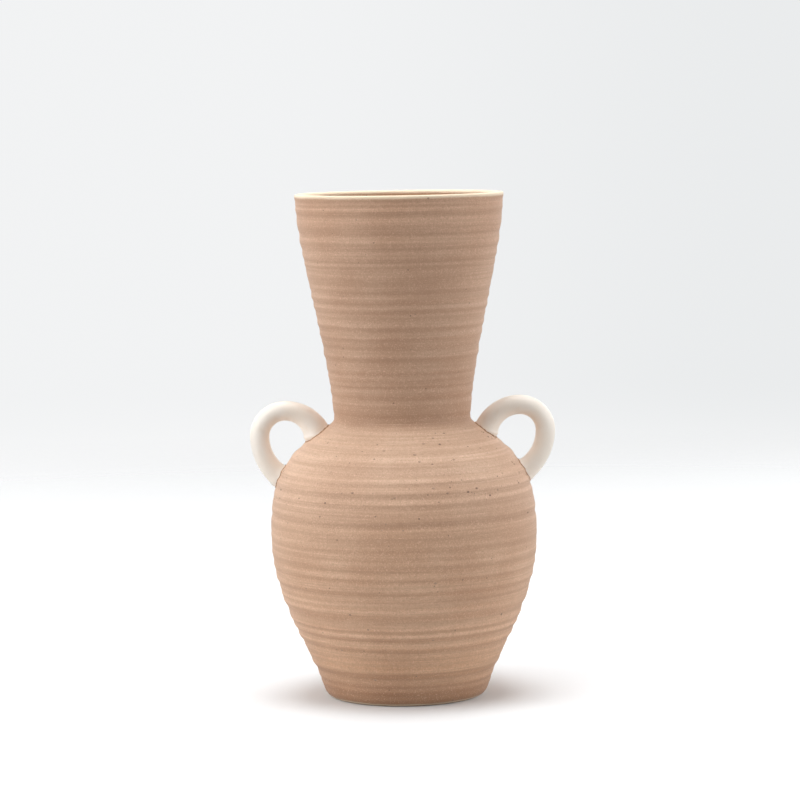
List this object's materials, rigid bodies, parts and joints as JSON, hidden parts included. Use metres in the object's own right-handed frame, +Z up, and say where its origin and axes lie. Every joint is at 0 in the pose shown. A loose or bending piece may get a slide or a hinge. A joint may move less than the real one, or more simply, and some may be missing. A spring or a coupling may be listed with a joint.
{
  "type": "ceramic vase",
  "caption": "Stoneware vase with a round ribbed belly, a flared ribbed neck, loop handles on the shoulder and a glazed inside.",
  "frame": {"origin": "centre of the foot, on the plane that the vase stands on", "axes": "+Z up along the vase's axis, +X towards the right handle as pictured, +Y away from the viewer"},
  "size_m": [0.1578, 0.138, 0.26],
  "materials": {
    "speckled_stoneware": "matte",
    "white_stoneware": "matte",
    "luting_slip": "matte",
    "liner_glaze": "gloss"
  },
  "bodies": {
    "root": {"belly": "speckled_stoneware", "neck": "speckled_stoneware", "neck_slip": "luting_slip", "handle_left": "white_stoneware", "handle_right": "white_stoneware", "handle_left_upper_slip": "luting_slip", "handle_left_lower_slip": "luting_slip", "handle_right_upper_slip": "luting_slip", "handle_right_lower_slip": "luting_slip", "glaze_lining": "liner_glaze"}
  },
  "joints": []
}
